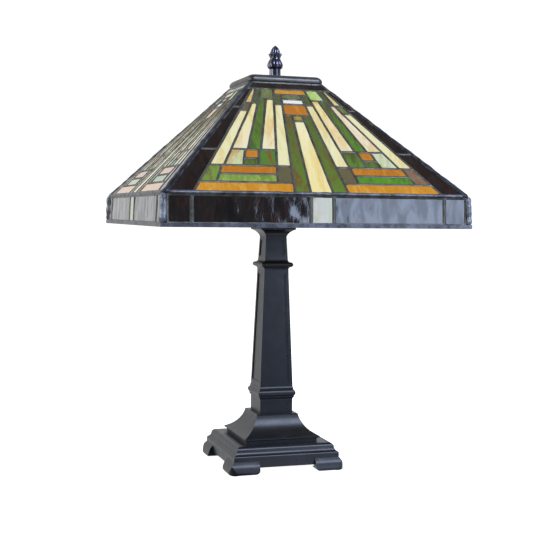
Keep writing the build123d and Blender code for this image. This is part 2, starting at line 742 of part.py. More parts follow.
def top_ring(blanks, hips):
    """Soldered ring that joins the tops of the four slopes."""
    bar = mitred_bar(CROWN_HALF + RING_LIP, CROWN_HALF - RING_DEPTH, RING_BOTTOM, CROWN_Z - RING_LIP)
    return around(largest(bar - blanks[0] - hips))


def cap_block(half, low, high, corner):
    """Square block with rounded corners that narrows towards its top."""
    low_face = Pos(0, 0, low) * RectangleRounded(2 * half, 2 * half, corner)
    top = 2 * (half - CAP_TAPER)
    high_face = Pos(0, 0, high) * RectangleRounded(top, top, corner - CAP_WALL)
    return loft([low_face, high_face])


def shade_cap():
    """Square pressed cap with rounded corners and a rolled upper edge, open underneath."""
    low = CROWN_Z - RING_LIP
    body = cap_block(CAP_HALF, low, CAP_TOP, CAP_CORNER)
    body = fillet(body.faces().sort_by(Axis.Z)[-1].edges(), CAP_ROLL)
    body -= cap_block(CAP_HALF - CAP_WALL, low - 1, CAP_TOP - CAP_WALL, CAP_CORNER - CAP_WALL)
    return body - cylinder(STUD_RADIUS + 0.3, low, CAP_TOP + 1)


# ---- nodes ---------------------------------------------------------------------------------------
def write_base():
    """Base castings, ballast, felt, cover and the parts on the lamp rod."""
    nut_low = BALLAST_BOTTOM - WASHER_THICK - NUT_HEIGHT
    plate_top = CAPITAL_TOP + NECK_PLATE_THICK
    write("base_plinth", base_plinth())
    write("foot_pads", *foot_pads())
    write("bottom_cover", bottom_cover())
    write("ballast_weight", ballast_weight())
    write("rod_locknut", hex_nut(NUT_ACROSS, ROD_RADIUS + FIT, nut_low, nut_low + NUT_HEIGHT))
    write("rod_washer", tube(WASHER_RADIUS, ROD_RADIUS + 0.3, nut_low + NUT_HEIGHT, BALLAST_BOTTOM))
    write("cord_bushing", cord_bushing())
    write("base_pedestal", base_pedestal())
    write("column", column())
    write("capital", capital())
    write("lamp_rod", lamp_rod())
    write("neck_plate", tube(NECK_PLATE_RADIUS, ROD_RADIUS + 0.3, CAPITAL_TOP, plate_top))
    write("column_nut", hex_nut(NUT_ACROSS, ROD_RADIUS + FIT, plate_top, CLUSTER_BOTTOM))


def write_cluster():
    """Cluster, riser and finial on the lamp's axis."""
    seat = CAP_TOP - CAP_WALL
    seat_low = seat - SEAT_THICK
    write("cluster_body", cluster_body())
    write("cluster_cover", cluster_cover())
    write("riser_rod", riser_rod())
    write("shade_seat", tube(SEAT_RADIUS, RISER_RADIUS + FIT, seat_low, seat))
    write("seat_nut", hex_nut(SEAT_NUT_ACROSS, RISER_RADIUS + FIT, seat_low - NUT_HEIGHT, seat_low))
    write("finial_insert", finial_insert())
    write("finial", finial())


def write_holders():
    """Both lampholders with their switch knobs and bulbs."""
    holder = {
        "socket_shell": socket_shell(),
        "socket_liner": socket_liner(),
        "socket_switch": socket_switch(),
        "socket_screw_shell": socket_screw_shell(),
        "socket_contact": socket_contact(),
        "switch_knob": switch_knob(),
        "bulb_contact": bulb_contact(),
        "bulb_base": bulb_base(),
        "bulb_glass": bulb_glass(),
    }
    for name, solid in holder.items():
        right = SOCKET_PLANE * solid
        write(f"{name}_right", right)
        write(f"{name}_left", right.rotate(Axis.Z, 180))


def write_shade():
    """Leaded panels, soldered seams, rim, cap and glass of the shade."""
    blanks = shade_blanks()
    lead = leaded(SLOPE_PLANE, slope_blank(), slope_panes(0))
    frame = leaded(SKIRT_PLANE, skirt_blank(), skirt_panes(0))
    for side, slope, skirt in zip(("front", "right", "back", "left"), around(lead), around(frame)):
        write(f"slope_lead_{side}", slope)
        write(f"skirt_lead_{side}", skirt)
    hips = hip_beads(blanks)
    rims = rim_channel(blanks)
    seams = corner_seams(blanks, hips, rims)
    write("hip_beads", *hips)
    write("corner_seams", *seams)
    write("eave_beads", *eave_beads(blanks, hips, seams))
    write("rim_channel", *rims)
    write("top_ring", *top_ring(blanks, hips))
    write("shade_cap", shade_cap())
    for colour, panes in glass_by_colour().items():
        write(f"glass_{colour}", *panes)


def main():
    """Writes every node."""
    os.makedirs("parts", exist_ok=True)
    write_base()
    write_cluster()
    write_holders()
    write_shade()


main()
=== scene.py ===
"""Looks of the stained glass table lamp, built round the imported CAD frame.

Metres, +Z up, front is -Y. Panes, lead lines and beads take their places from the CAD nodes they stand for.
"""

from math import ceil, cos, pi, radians, sin, sqrt

import bmesh
import bpy
import numpy as np
from mathutils import Matrix, Vector, noise
from mathutils.geometry import delaunay_2d_cdt


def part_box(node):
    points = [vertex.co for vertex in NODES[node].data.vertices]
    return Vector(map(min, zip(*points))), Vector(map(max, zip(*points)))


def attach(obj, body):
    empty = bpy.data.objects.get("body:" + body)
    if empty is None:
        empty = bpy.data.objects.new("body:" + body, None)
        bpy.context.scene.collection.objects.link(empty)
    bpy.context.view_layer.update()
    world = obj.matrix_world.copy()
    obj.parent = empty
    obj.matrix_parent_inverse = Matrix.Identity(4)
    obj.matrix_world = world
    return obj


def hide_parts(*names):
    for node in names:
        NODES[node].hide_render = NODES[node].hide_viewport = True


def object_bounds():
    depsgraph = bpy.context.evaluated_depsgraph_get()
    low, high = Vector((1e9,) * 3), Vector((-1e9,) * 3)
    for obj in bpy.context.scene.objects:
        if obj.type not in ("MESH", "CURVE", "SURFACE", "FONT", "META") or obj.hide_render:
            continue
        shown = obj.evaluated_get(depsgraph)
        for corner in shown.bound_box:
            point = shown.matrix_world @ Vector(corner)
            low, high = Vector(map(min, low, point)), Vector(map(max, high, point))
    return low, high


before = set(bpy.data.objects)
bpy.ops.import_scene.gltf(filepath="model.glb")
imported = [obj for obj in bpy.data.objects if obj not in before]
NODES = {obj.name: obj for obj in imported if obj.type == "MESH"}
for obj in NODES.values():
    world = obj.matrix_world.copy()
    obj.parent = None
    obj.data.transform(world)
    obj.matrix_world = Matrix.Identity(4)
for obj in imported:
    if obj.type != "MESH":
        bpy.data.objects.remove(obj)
CAD_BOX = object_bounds()
MM = 0.001
UP = Vector((0, 0, 1))
# Points this close to a plane count as lying on it, and points this close to each other as one.
FLAT = 0.01 * MM
WELD = 0.001 * MM

# ---- camera ------------------------------------------------------------------------------------
CAMERA_PLACE = (-0.4682, -1.4768, 0.3523)
CAMERA_YAW = 17.26
CAMERA_DOWN = 2.75
CAMERA_ROLL = 0.63
CAMERA_LENS = 73.87
SENSOR = 36.0


def add_camera():
    """Camera at the object's height, to the front left, looking slightly down."""
    yaw, down, roll = (radians(a) for a in (CAMERA_YAW, CAMERA_DOWN, CAMERA_ROLL))
    look = Vector((sin(yaw) * cos(down), cos(yaw) * cos(down), -sin(down)))
    right = look.cross(UP).normalized()
    top = right.cross(look)
    right, top = cos(roll) * right + sin(roll) * top, cos(roll) * top - sin(roll) * right
    data = bpy.data.cameras.new("camera")
    data.lens = CAMERA_LENS
    data.sensor_width = SENSOR
    camera = bpy.data.objects.new("camera", data)
    turn = Matrix((right, top, -look)).transposed()
    camera.matrix_world = Matrix.Translation(CAMERA_PLACE) @ turn.to_4x4()
    bpy.context.scene.collection.objects.link(camera)
    bpy.context.scene.camera = camera


# ---- shader helpers ------------------------------------------------------------------------------
class Look:
    """A material's node tree, with short calls to add and join nodes."""

    def __init__(self, name):
        self.material = bpy.data.materials.new(name)
        self.material.use_nodes = True
        self.tree = self.material.node_tree
        self.shader = self.tree.nodes["Principled BSDF"]

    def add(self, kind, **values):
        """New shader node of a kind, with some of its properties set."""
        node = self.tree.nodes.new("ShaderNode" + kind)
        for key, value in values.items():
            setattr(node, key, value)
        return node

    def join(self, source, target):
        """Link from an output to an input."""
        self.tree.links.new(source, target)

    def set(self, **values):
        """Plain values on the shader's own sockets."""
        for key, value in values.items():
            self.shader.inputs[key.replace("_", " ")].default_value = value

    def noise(self, vector, scale, detail=3.0, rough=0.5, distortion=0.0):
        """Noise from 0 to 1 at a position."""
        node = self.add("TexNoise")
        node.inputs["Scale"].default_value = scale
        node.inputs["Detail"].default_value = detail
        node.inputs["Roughness"].default_value = rough
        node.inputs["Distortion"].default_value = distortion
        self.join(vector, node.inputs["Vector"])
        return node.outputs["Fac"]

    def ramp(self, source, *stops):
        """Colours or grey levels blended by a number: each stop is (place, colour or level)."""
        node = self.add("ValToRGB")
        elements = node.color_ramp.elements
        while len(elements) < len(stops):
            elements.new(0.5)
        for element, (place, colour) in zip(elements, stops):
            element.position = place
            element.color = (*colour, 1) if isinstance(colour, tuple) else (colour, colour, colour, 1)
        self.join(source, node.inputs["Fac"])
        return node.outputs["Color"]

    def mix(self, factor, first, second, blend="MIX"):
        """Two colours mixed by a factor; each may be a socket or a plain value."""
        node = self.add("Mix", data_type="RGBA", blend_type=blend)
        factor_socket, first_socket, second_socket = node.inputs[0], node.inputs[6], node.inputs[7]
        for socket, value in ((factor_socket, factor), (first_socket, first), (second_socket, second)):
            if isinstance(value, bpy.types.NodeSocket):
                self.join(value, socket)
            elif isinstance(value, tuple):
                socket.default_value = (*value, 1)
            else:
                socket.default_value = value
        return node.outputs[2]

    def bump(self, height, strength, distance):
        """Fine relief on the shader's normal."""
        node = self.add("Bump")
        node.inputs["Strength"].default_value = strength
        node.inputs["Distance"].default_value = distance
        self.join(height, node.inputs["Height"])
        self.join(node.outputs["Normal"], self.shader.inputs["Normal"])

    def place(self):
        """Position on the object, in metres."""
        return self.add("TexCoord").outputs["Object"]

    def attribute(self, name, output="Color"):
        """Value that the mesh carries at each point."""
        node = self.add("Attribute", attribute_name=name)
        return node.outputs[output]


def rgb(red, green, blue):
    """Linear colour of an 8-bit display colour."""
    def linear(level):
        level /= 255
        return level / 12.92 if level <= 0.04045 else ((level + 0.055) / 1.055) ** 2.4

    return tuple(linear(level) for level in (red, green, blue))


# ---- materials -----------------------------------------------------------------------------------
# Share of the glass's colour that it scatters back; the rest is painted light, an emission that stands in
# for light passing through it.
BODY_SHARE = (0.66, 0.62, 0.5)


def paint_material(name, colour, low=0.30, high=0.46, grain=0.25, coat=0.0):
    """Satin painted casting: slight mottling, worn sheen and a fine cast texture."""
    look = Look(name)
    place = look.place()
    mottle = look.noise(place, scale=38.0, detail=5.0, rough=0.6)
    wear = look.noise(place, scale=90.0, detail=4.0, rough=0.6)
    dark = tuple(c * 0.72 for c in colour)
    light = tuple(c * 1.5 + 0.004 for c in colour)
    tone = look.ramp(mottle, (0.3, dark), (0.55, colour), (0.8, light))
    look.join(tone, look.shader.inputs["Base Color"])
    look.join(look.ramp(wear, (0.3, low), (0.75, high)), look.shader.inputs["Roughness"])
    look.bump(look.noise(place, scale=900.0, detail=4.0, rough=0.65), grain, 0.2 * MM)
    look.set(Coat_Weight=coat, Coat_Roughness=0.2, Specular_IOR_Level=0.45)
    return look.material


def metal_material(name, colour, rough=(0.22, 0.42), grain=0.15):
    """Bare metal with a fine grain and patchy sheen."""
    look = Look(name)
    place = look.place()
    tone = look.noise(place, scale=120.0, detail=4.0, rough=0.6)
    wear = look.noise(place, scale=60.0)
    dark = tuple(c * 0.7 for c in colour)
    look.join(look.ramp(tone, (0.3, dark), (0.7, colour)), look.shader.inputs["Base Color"])
    look.join(look.ramp(wear, (0.3, rough[0]), (0.7, rough[1])), look.shader.inputs["Roughness"])
    look.bump(look.noise(place, scale=1500.0, rough=0.6), grain, 0.1 * MM)
    look.set(Metallic=1.0)
    return look.material


def plain_material(name, colour, rough=0.5, grain=0.3, scale=700.0, low=0.75, high=1.2):
    """Moulded plastic, card or felt with a fine surface texture."""
    look = Look(name)
    place = look.place()
    tone = look.noise(place, scale / 4, detail=4.0, rough=0.6)
    dark, light = (tuple(c * share for c in colour) for share in (low, high))
    look.join(look.ramp(tone, (0.25, dark), (0.75, light)), look.shader.inputs["Base Color"])
    look.join(look.ramp(tone, (0.3, rough * 0.85), (0.7, rough * 1.15)), look.shader.inputs["Roughness"])
    look.bump(look.noise(place, scale, detail=5.0, rough=0.65), grain, 0.3 * MM)
    return look.material


def solder_material(name, dark, light, worn=0.55, metallic=0.75, relief=0.4 * MM, lumps=420.0):
    """Patinated solder: dark, with lighter patches and flecks at random; the lighter colour is rubbed
    metal, and in the bluish copies it is also a painted highlight.
    """
    look = Look(name)
    place = look.place()
    patch = look.noise(place, scale=70.0, detail=5.0, rough=0.65, distortion=0.4)
    fleck = look.noise(place, scale=420.0, rough=0.6)
    wear = look.noise(place, scale=200.0, detail=4.0)
    # The lighter colour stands for rubbed metal and, in the bluish copies, for painted highlights as well.
    tone = look.ramp(patch, (0.35, dark), (worn + 0.1, light))
    flecked = look.mix(look.ramp(fleck, (0.55, 0.0), (0.75, 0.6)), tone, light)
    look.join(flecked, look.shader.inputs["Base Color"])
    look.join(look.ramp(wear, (0.3, 0.26), (0.75, 0.5)), look.shader.inputs["Roughness"])
    look.bump(look.noise(place, lumps, rough=0.55), 0.35, relief)
    look.set(Metallic=metallic)
    return look.material


def glass_material(name, painted_backlight, streak_scale, rough, ripple_scale, relief, film):
    """Streaky opalescent sheet glass: each pane's three colours run together along its own flow, and the
    colour is also emitted as painted light, in place of light passing through the glass.
    """
    look = Look(name)
    flow = look.attribute("flow", "Vector")
    main, streak, wisp = (look.attribute(f"tint_{i}") for i in range(3))
    broad = look.noise(flow, streak_scale, rough=0.55, distortion=1.1)
    fine = look.noise(flow, streak_scale * 2.6, detail=5.0, rough=0.62, distortion=1.4)
    colour = look.mix(look.ramp(broad, (0.47, 0.0), (0.64, 0.85)), main, streak)
    colour = look.mix(look.ramp(fine, (0.50, 0.0), (0.72, 0.7)), colour, wisp)
    look.join(look.mix(1.0, colour, BODY_SHARE, "MULTIPLY"), look.shader.inputs["Base Color"])
    # Painted light: the streaky colour is emitted, standing in for light that passes through the glass.
    if painted_backlight:
        look.join(colour, look.shader.inputs["Emission Color"])
        look.set(Emission_Strength=painted_backlight)
    look.join(look.ramp(fine, (0.2, rough * 0.8), (0.8, rough * 1.3)), look.shader.inputs["Roughness"])
    patches = look.noise(flow, scale=55.0, rough=0.55, distortion=0.8)
    look.join(look.ramp(patches, (0.42, film[0]), (0.57, film[1])), look.shader.inputs["Coat Weight"])
    look.bump(look.noise(flow, ripple_scale), 1.0, relief)
    look.set(IOR=1.52, Coat_Roughness=0.05, Coat_IOR=1.6)
    return look.material


# ---- mesh helpers --------------------------------------------------------------------------------
def add_mesh(name, points, faces, material, body, smooth_angle=50.0):
    """Link a mesh built from plain lists, and let it ride on a CAD body."""
    mesh = bpy.data.meshes.new(name)
    mesh.from_pydata([tuple(p) for p in points], [], [tuple(int(i) for i in f) for f in faces])
    mesh.validate()
    mesh.shade_smooth()
    mesh.set_sharp_from_angle(angle=radians(smooth_angle))
    mesh.materials.append(material)
    piece = bpy.data.objects.new(name, mesh)
    bpy.context.scene.collection.objects.link(piece)
    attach(piece, body)
    return piece


def solids_of(node):
    """Each connected solid of a CAD node: its points, in metres, and its faces' areas and normals."""
    welded = bmesh.new()
    welded.from_mesh(NODES[node].data)
    bmesh.ops.remove_doubles(welded, verts=welded.verts, dist=WELD)
    welded.verts.ensure_lookup_table()
    seen, found = set(), []
    for start in welded.verts:
        if start.index in seen:
            continue
        stack, group = [start], []
        seen.add(start.index)
        while stack:
            vert = stack.pop()
            group.append(vert)
            for edge in vert.link_edges:
                other = edge.other_vert(vert)
                if other.index not in seen:
                    seen.add(other.index)
                    stack.append(other)
        faces = dict.fromkeys(face for vert in group for face in vert.link_faces)
        points = np.array([vert.co for vert in group])
        areas = [(face.calc_area(), face.normal.copy()) for face in faces]
        found.append((points, areas))
    welded.free()
    return found


class Panel:
    """Plane of one flat side of the shade, with u across, v up the side and n outwards."""

    def __init__(self, normal):
        self.n = np.array(normal)
        across = np.cross((0, 0, 1), self.n)
        self.u = across / np.linalg.norm(across)
        self.v = np.cross(self.n, self.u)

    def flat(self, points):
        """(u, v) of points in space."""
        return np.column_stack((points @ self.u, points @ self.v))

    def space(self, flat, height):
        """Points in space of (u, v) and a distance along the normal."""
        return np.outer(flat[:, 0], self.u) + np.outer(flat[:, 1], self.v) + np.outer(height, self.n)


def facing(points, areas):
    """Outward unit normal of a slab's largest flat side."""
    middle = points.mean(0)
    sums = {}
    for area, normal in areas:
        key = tuple(round(c, 2) for c in normal)
        total, vector = sums.get(key, (0.0, normal))
        sums[key] = (total + area, vector)
    best, best_area = None, 0.0
    for total, normal in sums.values():
        outward = normal.x * middle[0] + normal.y * middle[1] > 0
        if outward and total > best_area:
            best, best_area = normal, total
    return best.normalized()


def front_outline(panel, points):
    """Corners of a slab's outer face, in order, with the outer and inner distances along the normal."""
    height = points @ panel.n
    flat = panel.flat(points[height > height.max() - FLAT])
    middle = flat.mean(0)
    order = np.argsort(np.arctan2(flat[:, 1] - middle[1], flat[:, 0] - middle[0]))
    return flat[order], height.max(), height.min()


def grown(outline, distance):
    """Convex outline moved outwards by a distance."""
    count = len(outline)
    lines = []
    for i in range(count):
        a, b = outline[i], outline[(i + 1) % count]
        along = (b - a) / np.linalg.norm(b - a)
        out = np.array((along[1], -along[0]))
        lines.append((a + out * distance, along))
    corners = []
    for i in range(count):
        (first, along), (second, other) = lines[i - 1], lines[i]
        t = np.linalg.solve(np.column_stack((along, -other)), second - first)[0]
        corners.append(first + along * t)
    return np.array(corners)


def ripples(points, size, seed):
    """Smooth noise from -1 to 1 at each point."""
    return np.array([noise.noise(Vector(p) / size + Vector((seed, seed * 0.7, 0))) for p in points])


# ---- panes of glass ------------------------------------------------------------------------------
class Pane:
    """One pane: its glass colour, its panel, its outline there, and how far out its two faces lie."""

    def __init__(self, colour, panel, outline, front, back):
        self.colour, self.panel, self.outline = colour, panel, outline
        self.front, self.back = front, back
        self.middle = outline.mean(0)


def read_panes():
    """The four slopes and four skirt panels of the shade, and every pane that lies on them."""
    panels, panes = {}, []
    for node in sorted(n for n in NODES if n.startswith("glass_")):
        for points, areas in solids_of(node):
            normal = facing(points, areas)
            key = tuple(round(c, 2) for c in normal)
            panel = panels.setdefault(key, Panel(normal))
            outline, front, back = front_outline(panel, points)
            panes.append(Pane(node[len("glass_"):], panel, outline, front, back))
    return panels, panes


# Three colours of each kind of glass: main, streak and wisp.
CREAM = rgb(243, 237, 190), rgb(236, 216, 146), rgb(249, 245, 218)
PINK_CREAM = rgb(243, 230, 200), rgb(214, 154, 82), rgb(250, 242, 226)
YELLOW_CREAM = rgb(247, 234, 168), rgb(232, 182, 64), rgb(250, 244, 204)
CENTRE_CREAM = rgb(250, 241, 196), rgb(244, 218, 136), rgb(252, 248, 222)
AMBER_CREAM = rgb(232, 208, 142), rgb(212, 160, 80), rgb(242, 230, 188)
GREEN = rgb(88, 106, 44), rgb(82, 74, 38), rgb(112, 140, 54)
TOP_GREEN = rgb(76, 92, 46), rgb(84, 74, 48), rgb(98, 116, 58)
VIVID_GREEN = rgb(86, 146, 32), rgb(58, 100, 28), rgb(120, 172, 50)
OLIVE = rgb(88, 98, 44), rgb(118, 74, 40), rgb(88, 132, 46)
GREEN_RED = rgb(84, 128, 44), rgb(140, 72, 26), rgb(120, 146, 58)
MOSS = rgb(118, 150, 58), rgb(112, 98, 64), rgb(152, 178, 84)
LIGHT_GREEN = rgb(134, 166, 70), rgb(108, 146, 52), rgb(190, 202, 124)
MINT = rgb(190, 216, 134), rgb(160, 200, 92), rgb(210, 226, 160)
PALE = rgb(214, 222, 192), rgb(172, 190, 116), rgb(232, 232, 214)
PALE_STREAKED = rgb(206, 216, 166), rgb(208, 160, 92), rgb(226, 230, 196)
SMOKE = rgb(100, 94, 66), rgb(130, 86, 62), rgb(108, 126, 78)
SMOKE_GREEN = rgb(108, 122, 72), rgb(92, 92, 58), rgb(136, 150, 92)
MAUVE = rgb(138, 106, 88), rgb(120, 74, 56), rgb(148, 144, 104)
AMBER = rgb(212, 146, 32), rgb(226, 170, 66), rgb(192, 110, 22)
DEEP_AMBER = rgb(194, 120, 22), rgb(208, 142, 40), rgb(166, 90, 18)
OLIVE_YELLOW = rgb(152, 142, 40), rgb(176, 158, 60), rgb(110, 108, 38)
WHITE = rgb(244, 244, 242), rgb(238, 240, 238), rgb(250, 250, 250)
DARK = rgb(48, 28, 20), rgb(20, 15, 13), rgb(78, 42, 26)
SKIRT_DARK = rgb(36, 26, 25), rgb(18, 16, 19), rgb(92, 48, 32)
SKIRT_PALE = rgb(176, 174, 156), rgb(160, 176, 126), rgb(198, 176, 168)


# Panes whose glass changes towards its lower end, and what it changes to.
FADES = {
    OLIVE: (rgb(98, 128, 42), rgb(116, 80, 38), rgb(92, 150, 38)),
    CENTRE_CREAM: (rgb(249, 234, 168), rgb(240, 206, 110), rgb(251, 243, 204)),
    YELLOW_CREAM: (rgb(247, 238, 206), rgb(236, 208, 146), rgb(250, 242, 226)),
    PINK_CREAM: (rgb(246, 234, 206), rgb(232, 204, 148), rgb(250, 242, 226)),
    GREEN: (rgb(90, 134, 40), rgb(64, 98, 32), rgb(116, 156, 54)),
}


# Spacing of a pane's mesh, and how far the glass reaches past the CAD pane under the lead.
GLASS_STEP = 4 * MM
UNDER_LEAD = 0.7 * MM
# The back of a pane ripples by this share of what its front does.
BACK_RIPPLE = 0.5


def slab_faces(start, across, up):
    """Faces of a slab whose front and back are equal grids of points, one after the other from start."""
    count = (across + 1) * (up + 1)

    def at(i, j):
        return start + j * (across + 1) + i

    faces = []
    for j in range(up):
        for i in range(across):
            ring = [at(i, j), at(i + 1, j), at(i + 1, j + 1), at(i, j + 1)]
            faces.append(ring)
            faces.append([k + count for k in reversed(ring)])
    rim = [at(i, 0) for i in range(across)] + [at(across, j) for j in range(up)]
    rim += [at(i, up) for i in range(across, 0, -1)] + [at(0, j) for j in range(up, 0, -1)]
    for k, first in enumerate(rim):
        second = rim[(k + 1) % len(rim)]
        faces.append([second, first, first + count, second + count])
    return faces


def add_glass(panes, colour, material, ripple, ripple_size):
    """One mesh per colour of glass: every pane a gently rippled slab with its own flow and tints."""
    points, faces, flows, colours = [], [], [], ([], [], [])
    chosen = [p for p in panes if p.colour == colour]
    for number, pane in enumerate(chosen):
        seed = 0.37 * number + len(colour)
        a, b, c, d = grown(pane.outline, UNDER_LEAD)
        wide = max(np.linalg.norm(b - a), np.linalg.norm(c - d))
        tall = max(np.linalg.norm(d - a), np.linalg.norm(c - b))
        across, up = (max(3, int(ceil(length / GLASS_STEP))) for length in (wide, tall))
        s, t = np.meshgrid(np.linspace(0, 1, across + 1), np.linspace(0, 1, up + 1))
        s, t = s.ravel()[:, None], t.ravel()[:, None]
        flat = a * (1 - s) * (1 - t) + b * s * (1 - t) + c * s * t + d * (1 - s) * t
        where = np.column_stack((flat, np.zeros(len(flat))))
        rise = ripple * ripples(where, ripple_size, seed)
        faces += slab_faces(len(points), across, up)
        points.extend(pane.panel.space(flat, pane.front + rise))
        points.extend(pane.panel.space(flat, pane.back + rise * BACK_RIPPLE))
        lean, stretch, palette = pane_tints(pane)
        turn = np.array(((cos(lean), -sin(lean)), (sin(lean), cos(lean))))
        moved = (flat - pane.middle) @ turn.T
        flow = np.column_stack((moved[:, 0], moved[:, 1] * stretch, np.full(len(flat), seed * 3.1)))
        flows += [flow, flow]
        for store, top, foot in zip(colours, palette, FADES.get(palette, palette)):
            tint = np.hstack((np.array(foot) * (1 - t) + np.array(top) * t, np.ones(t.shape)))
            store += [tint, tint]
    piece = add_mesh(f"panes_{colour}", points, faces, material, "shade")
    attributes = piece.data.attributes
    attributes.new("flow", "FLOAT_VECTOR", "POINT").data.foreach_set("vector", np.vstack(flows).ravel())
    for index, store in enumerate(colours):
        layer = attributes.new(f"tint_{index}", "FLOAT_COLOR", "POINT")
        layer.data.foreach_set("color", np.vstack(store).ravel())
    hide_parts(f"glass_{colour}")


# ---- lead lines ----------------------------------------------------------------------------------
# Width from a pane's edge over which a lead line domes up, its height, and its lap over the glass.
DOME_HALF = 1.9 * MM
DOME_RISE = 1.1 * MM
LAP = 0.45 * MM
# The lead's skin starts this far below the face of the glass.
SINK = 0.2 * MM
# Spacing of the mesh along pane edges, and how far from them its rows of extra points run.
STEP = 3.5 * MM
ROWS = (0.45 * MM, 1.05 * MM)
# Extra points keep clear of every edge by this much, and each has a cell of this size to itself.
CLEAR = 0.35 * MM
CELL = 0.8 * MM
# Unevenness of the hand-run solder: (share of the dome's height, size), and sideways drift.
LUMPS = ((0.22, 9 * MM), (0.12, 3.5 * MM))
DRIFT = 0.28 * MM
DRIFT_SIZE = 13 * MM


def inside(outline, spots):
    """True where a spot lies in a convex outline that runs anticlockwise."""
    within = np.ones(len(spots), bool)
    for a, b in zip(outline, np.roll(outline, -1, 0)):
        along = b - a
        within &= along[0] * (spots[:, 1] - a[1]) - along[1] * (spots[:, 0] - a[0]) > 0
    return within


def edge_distance(outlines, spots):
    """Distance from each spot to the nearest edge of any outline."""
    best = np.full(len(spots), 1.0)
    for outline in outlines:
        for a, b in zip(outline, np.roll(outline, -1, 0)):
            along = b - a
            t = np.clip(((spots - a) @ along) / (along @ along), 0, 1)
            best = np.minimum(best, np.linalg.norm(spots - a - np.outer(t, along), axis=1))
    return best


def sampled(outline, step):
    """Points along a closed outline, corners included."""
    spots = []
    for a, b in zip(outline, np.roll(outline, -1, 0)):
        count = max(1, int(round(np.linalg.norm(b - a) / step)))
        spots += [a + (b - a) * k / count for k in range(count)]
    return spots


def lead_sheet(border, outlines):
    """Flat triangulated lead between the panes of one panel: spots, triangles."""
    spots, edges = [], []

    def ring(outline, step):
        loop = sampled(outline, step)
        start = len(spots)
        spots.extend(loop)
        edges.extend((start + k, start + (k + 1) % len(loop)) for k in range(len(loop)))

    ring(border, 2 * STEP)
    for outline in outlines:
        ring(outline, STEP)
    extra = []
    for gap in ROWS:
        for outline in outlines:
            extra += sampled(grown(outline, gap), STEP)
    extra = np.array(extra)
    keep = inside(border, extra)
    for outline in outlines:
        keep &= ~inside(outline, extra)
    keep &= edge_distance(outlines + [border], extra) > CLEAR
    kept, cells = [], set()
    for spot in extra[keep]:
        cell = (round(spot[0] / CELL), round(spot[1] / CELL))
        if cell not in cells:
            cells.add(cell)
            kept.append(spot)
    everything = [Vector(spot) for spot in spots + kept]
    tolerance = 1e-7
    result = delaunay_2d_cdt(everything, edges, [], 0, tolerance)
    flat = np.array([tuple(spot) for spot in result[0]])
    triangles = np.array(result[2])
    middles = flat[triangles].mean(1)
    lead = inside(border, middles)
    for outline in outlines:
        lead &= ~inside(outline, middles)
    return flat, triangles[lead]


def add_lead(kind, panel, panes, material):
    """Soldered lead lines of one panel: domed on both faces, with hand-run unevenness."""
    side = side_name(panel.n)
    node = f"{kind}_lead_{side}"
    seed = panes[0].side * 2.3
    outlines = [grown(p.outline, -LAP) for p in panes]
    flat, triangles = lead_sheet(panel_border(node, panel), outlines)
    used, triangles = np.unique(triangles, return_inverse=True)
    triangles = triangles.reshape(-1, 3)
    flat = flat[used]
    a, b, c = (flat[triangles[:, k]] for k in range(3))
    turn = (b - a)[:, 0] * (c - a)[:, 1] - (b - a)[:, 1] * (c - a)[:, 0]
    triangles[turn < 0] = triangles[turn < 0][:, ::-1]
    near = np.clip(edge_distance(outlines, flat) / DOME_HALF, 0, 1)
    where = np.column_stack((flat, np.zeros(len(flat))))
    (coarse, coarse_size), (fine, fine_size) = LUMPS
    lump = 1 + coarse * ripples(where, coarse_size, seed) + fine * ripples(where, fine_size, seed + 5)
    dome = DOME_RISE * np.sqrt(1 - (1 - near) ** 2) * lump
    drift = [ripples(where, DRIFT_SIZE, seed + shift) for shift in (1, 2)]
    flat = flat + DRIFT * np.column_stack(drift)
    outer = panel.space(flat, panes[0].front - SINK + dome)
    inner = panel.space(flat, panes[0].back + SINK - dome)
    count = len(flat)
    faces = [list(t) for t in triangles] + [[i + count for i in reversed(t)] for t in triangles]
    directed = dict.fromkeys((t[k], t[(k + 1) % 3]) for t in triangles for k in range(3))
    for first, second in directed:
        if (second, first) not in directed:
            faces.append([second, first, first + count, second + count])
    name = f"came_{kind}_{side}"
    piece = add_mesh(name, np.vstack((outer, inner)), faces, material, "shade", smooth_angle=65)
    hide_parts(node)


def panel_border(node, panel):
    """Outer outline of a panel's lead: the four corners of its front face."""
    points = np.vstack([p for p, _ in solids_of(node)])
    height = points @ panel.n
    flat = panel.flat(points[height > height.max() - FLAT])
    corners = []
    # The height on the panel counts before the place across it.
    first_by_height = 1e3
    for right, up in ((-1, -1), (1, -1), (1, 1), (-1, 1)):
        score = flat[:, 1] * up * first_by_height + flat[:, 0] * right
        corners.append(flat[np.argmax(score)])
    return np.array(corners)


# ---- beads and bars ------------------------------------------------------------------------------
# Stretch of a CAD bar that is averaged to find its end.
END_SLICE = 2 * MM
# Length over which a bead rounds off at its end, and the share of its section that it loses there.
END_ROUND = 1.5 * MM
END_DROP = 0.6
# How far a bead's face looks up for each unit that it looks outwards.
LOOKS_UP = 0.6


def bar_ends(points):
    """Both ends of a straight bar's middle line."""
    middle = points.mean(0)
    _, _, axes = np.linalg.svd(points - middle, full_matrices=False)
    along = (points - middle) @ axes[0]
    low = points[along < along.min() + END_SLICE].mean(0)
    high = points[along > along.max() - END_SLICE].mean(0)
    axis = (high - low) / np.linalg.norm(high - low)
    sense = 1 if axis @ axes[0] > 0 else -1
    low = low + axis * (along.min() - (low - middle) @ axes[0]) * sense
    return low, high


